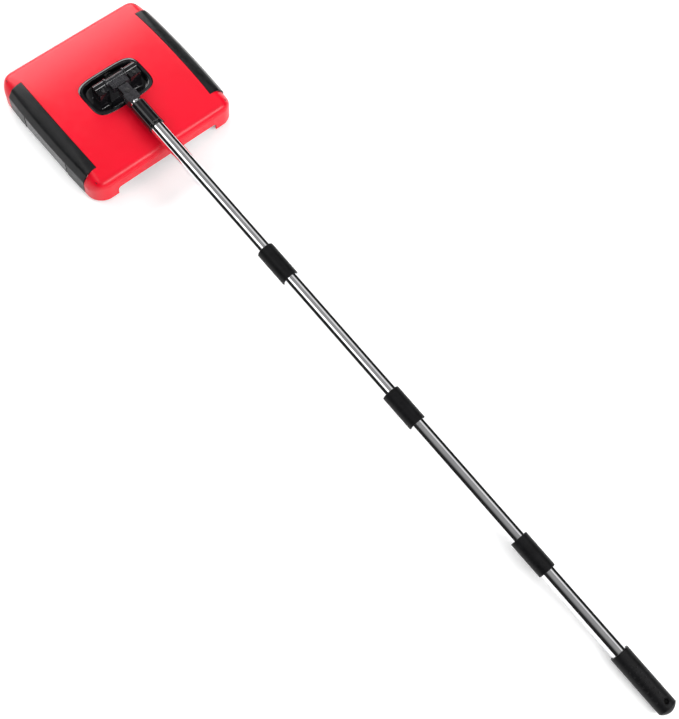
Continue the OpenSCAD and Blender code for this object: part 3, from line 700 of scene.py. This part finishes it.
def make_tufts():
    """Bundles of tapered filaments that splay from the brush's core."""
    random.seed(11)
    low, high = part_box("brush_tufts")
    centre = (low + high) / 2
    tip, root = (high.z - low.z) / 2 - 0.2 * MM, 8.6 * MM
    pitch, steps, rows, twist = 11.6 * MM, 14, 4, 9
    filaments, golden_angle, sides = 30, 2.39996, 4
    points, faces = [], []
    for row in range(rows):
        for i in range(steps):
            x = (i - (steps - 1) / 2) * pitch
            turn = math.radians(row * 360 / rows + abs(x) / pitch * twist)
            out = Vector((0, -math.sin(turn), math.cos(turn)))
            across = Vector((0, math.cos(turn), math.sin(turn)))
            for k in range(filaments):
                spread = math.sqrt((k + 0.5) / filaments)
                angle = k * golden_angle
                du, dv = spread * math.cos(angle), spread * math.sin(angle)
                length = tip - random.uniform(0, 1.2) * MM
                start = len(points)
                for level in (0, 0.4, 0.75, 1):
                    reach = root + (length - root) * level
                    flare = (1.3 + 1.4 * level ** 2) * MM
                    bend = random.uniform(-0.25, 0.25) * MM * level
                    middle = centre + Vector((x, 0, 0)) + out * reach * (1 - 0.004 * spread * level)
                    middle += Vector((1, 0, 0)) * (du * flare + bend) + across * (dv * flare + bend)
                    thick = (0.16 - 0.05 * level) * MM
                    for s in range(sides):
                        t = 2 * math.pi * s / sides
                        points.append(middle + Vector((1, 0, 0)) * thick * math.cos(t)
                                      + across * thick * math.sin(t))
                faces += [tuple(start + n for n in f) for f in rings_to_faces(sides, 4)]
                faces.append(tuple(start + 12 + n for n in range(sides)))
                faces.append(tuple(start + n for n in reversed(range(sides))))
    tufts = add_mesh("brush_bristles", points, faces)
    tidy_normals(tufts)
    smooth_by_angle(tufts, 60)
    piece(tufts, "brush_roll", "bristle", "brush_tufts")


def make_pan_springs():
    """Torsion springs: a coil round the rod and a straight leg up to the chassis."""
    low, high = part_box("pan_springs")
    wire, coil, turns = 0.5 * MM, 2.9 * MM, 4.5
    parts = []
    for sx in (-1, 1):
        for sy in (-1, 1):
            rod_y = sy * (high.y - HEAD_Y - coil - wire)
            rod_z = low.z + coil + wire
            start_x = high.x - 2 * wire * turns - wire
            path = []
            for i in range(int(turns * 24) + 1):
                t = 2 * math.pi * i / 24 + math.pi
                path.append((sx * (start_x + 2 * wire * turns * i / (turns * 24)),
                             HEAD_Y + rod_y + sy * coil * math.cos(t), rod_z + coil * math.sin(t)))
            path.append((path[-1][0], path[-1][1], high.z - wire))
            parts.append(loft("spring", tube_along(path, wire * 0.9)))
    springs = join_pieces("pan_torsion_springs", parts)
    smooth_by_angle(springs, 50)
    piece(springs, "head", "plain_steel", "pan_springs")


def make_tyre(node):
    """A rubber tyre with two grooves round its tread."""
    low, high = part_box(node)
    centre = (low + high) / 2
    half, radius = (high.x - low.x) / 2, (high.z - low.z) / 2
    inside = 13.5 * MM
    profile = [(-half, inside), (-half, radius - 1.6 * MM)]
    profile += [(u - half + 1.5 * MM, v + radius - 1.5 * MM) for u, v in arc((0, 0), 1.5 * MM, 180, 100, 6)]
    for groove in (-1, 1):
        at = groove * 1.1 * MM
        profile += [(at - 0.45 * MM, radius), (at - 0.3 * MM, radius - 0.6 * MM),
                    (at + 0.3 * MM, radius - 0.6 * MM), (at + 0.45 * MM, radius)]
    profile += [(half - 1.5 * MM + u, v + radius - 1.5 * MM) for u, v in arc((0, 0), 1.5 * MM, 80, 0, 6)]
    profile += [(half, radius - 1.6 * MM), (half, inside)]
    tyre = turned(node + "_tread", profile, centre, (1, 0, 0))
    smooth_by_angle(tyre, 40)
    end = "front" if "front" in node else "rear"
    piece(tyre, end + "_wheelset", "tyre_rubber", node)


# ---------------------------------------------------------------- handle

HANDLE_BACK = Vector((0, -math.sqrt(1 - SWIVEL_AXIS.y ** 2), SWIVEL_AXIS.y)).normalized()


def on_handle(station, turn, radius):
    """A point at a station from the tilt axis and an angle from the top, round the handle."""
    t = math.radians(turn)
    outward = SWIVEL_AXIS * math.cos(t) + Vector((1, 0, 0)) * math.sin(t)
    return PIVOT + HANDLE_BACK * station + outward * radius


def make_grip_dots():
    """Rows of small raised studs on two sides of the grip."""
    radius, first, pitch, between_rows = 12.5 * MM, 965, 7.2, 23
    studs = []
    for face in (0, 180):
        for row in range(-1, 2):
            for i in range(7):
                station = (first + pitch * i + pitch / 2 * (row % 2)) * MM
                turn = face - 22 + row * between_rows
                rings = []
                for size, rise in ((1.25, -0.3), (1.2, 0.1), (1.0, 0.32), (0.65, 0.46), (0.25, 0.5)):
                    ring = []
                    for k in range(16):
                        a = 2 * math.pi * k / 16
                        ring.append(on_handle(station + size * MM * math.cos(a),
                                              turn + math.degrees(size * MM * math.sin(a) / radius),
                                              radius + rise * MM))
                    rings.append(ring)
                studs.append(loft("stud", rings))
    dots = join_pieces("grip_studs", studs)
    smooth_by_angle(dots, 60)
    piece(dots, "handle", "grip_black")


# ---------------------------------------------------------------- build the pieces

make_top_shell()
make_end_panel("end_panel_right_moulding", 1)
make_end_panel("end_panel_left_moulding", -1)
make_pivot_well()
make_tufts()
make_pan_springs()
for end in ("front", "rear"):
    for side in ("left", "right"):
        make_tyre(f"tyre_{end}_{side}")
make_grip_dots()

for name, width in (("pivot_caps", 0.5), ("swivel_yoke", 0.6), ("pivot_tee", 0.2),
                    ("release_lever_left", 0.5), ("release_lever_right", 0.5), ("grip", 0.5),
                    ("collar_ring", 0.4), ("ferrule", 0.3)):
    soften(frame["nodes"][name], width * MM)


# ---------------------------------------------------------------- camera, floor and light

def make_camera(azimuth, elevation, roll, distance, lens, target):
    """A camera looking at the target. Azimuth 0 looks along +Y."""
    a, e = math.radians(azimuth), math.radians(elevation)
    back = Vector((math.sin(a) * math.cos(e), -math.cos(a) * math.cos(e), math.sin(e)))
    data = bpy.data.cameras.new("camera")
    data.lens = lens
    data.clip_start, data.clip_end = 0.05, 40
    camera = bpy.data.objects.new("camera", data)
    camera.rotation_mode = "QUATERNION"
    camera.location = target + back * distance
    camera.rotation_quaternion = (-back).to_track_quat("-Z", "Y") @ Matrix.Rotation(
        math.radians(roll), 3, "Z").to_quaternion()
    bpy.context.scene.collection.objects.link(camera)
    bpy.context.scene.camera = camera


def soft_light(name, place, size, radiance, aim, along=(0, 1, 0)):
    """A rectangular soft light aimed at a point, its first size running along a direction."""
    data = bpy.data.lights.new(name, "AREA")
    data.shape = "RECTANGLE"
    data.size, data.size_y = size
    data.energy = radiance * math.pi * size[0] * size[1]
    light = bpy.data.objects.new(name, data)
    back = (Vector(place) - Vector(aim)).normalized()
    across = back.cross(Vector(along)).normalized()
    turn = Matrix((across.cross(back), across, back)).transposed()
    light.matrix_world = Matrix.Translation(place) @ turn.to_4x4()
    bpy.context.scene.collection.objects.link(light)


def make_floor():
    """A plain white floor that glows a little, so that shadows on it stay pale."""
    size = 8.0
    mesh = bpy.data.meshes.new("floor")
    mesh.from_pydata([(-size, -size, 0), (size, -size, 0), (size, size, 0), (-size, size, 0)],
                     [], [(0, 1, 2, 3)])
    floor = bpy.data.objects.new("floor", mesh)
    s = Shader("floor_white", (0.92, 0.92, 0.92), 0.85, Emission_Strength=0.22)
    mesh.materials.append(s.material)
    bpy.context.scene.collection.objects.link(floor)
    floor.location.z = -0.0004


def make_world(low, high):
    """Grey surroundings, dark except overhead; the camera itself sees white."""
    world = bpy.data.worlds.new("studio")
    world.use_nodes = True
    tree = world.node_tree
    grey = tree.nodes["Background"]
    place = tree.nodes.new("ShaderNodeTexCoord")
    split = tree.nodes.new("ShaderNodeSeparateXYZ")
    ramp = tree.nodes.new("ShaderNodeMapRange")
    ramp.interpolation_type = "SMOOTHSTEP"
    ramp.inputs["From Min"].default_value, ramp.inputs["From Max"].default_value = 0.6, 1.0
    ramp.inputs["To Min"].default_value, ramp.inputs["To Max"].default_value = low, high
    tree.links.new(place.outputs["Generated"], split.inputs["Vector"])
    tree.links.new(split.outputs["Z"], ramp.inputs["Value"])
    tree.links.new(ramp.outputs["Result"], grey.inputs["Color"])
    white = tree.nodes.new("ShaderNodeBackground")
    path = tree.nodes.new("ShaderNodeLightPath")
    mix = tree.nodes.new("ShaderNodeMixShader")
    tree.links.new(path.outputs["Is Camera Ray"], mix.inputs["Fac"])
    tree.links.new(grey.outputs["Background"], mix.inputs[1])
    tree.links.new(white.outputs["Background"], mix.inputs[2])
    tree.links.new(mix.outputs["Shader"], tree.nodes["World Output"].inputs["Surface"])
    white.inputs["Color"].default_value = (1, 1, 1, 1)
    bpy.context.scene.world = world


bpy.context.scene.view_settings.view_transform = "Standard"
make_camera(azimuth=-52.345, elevation=67.047, roll=12.512, distance=1.448, lens=57.92,
            target=Vector((-0.00756, -0.00524, 0)))
make_floor()
make_world(0.02, 0.33)
soft_light("left_box", (-1.16, 0.85, 1.85), (1.5, 0.9), 1.8, (0, 0.35, 0.05))
soft_light("right_box", (1.17, 0.3, 1.87), (2.8, 0.9), 0.6, (0, 0.1, 0.05))
soft_light("back_light", (0.3, 3.6, 1.9), (5.2, 1.4), 7.5, (0, 0.45, 0), (1, 0, 0))
soft_light("near_light", (0.4, -2.3, 2.4), (4.2, 1.6), 3.2, (0, 0.3, 0), (1, 0, 0))
soft_light("near_strip", (0.6, -2.3, 2.35), (3.0, 0.35), 18.0, (0, 0.3, 0), (1, 0, 0))
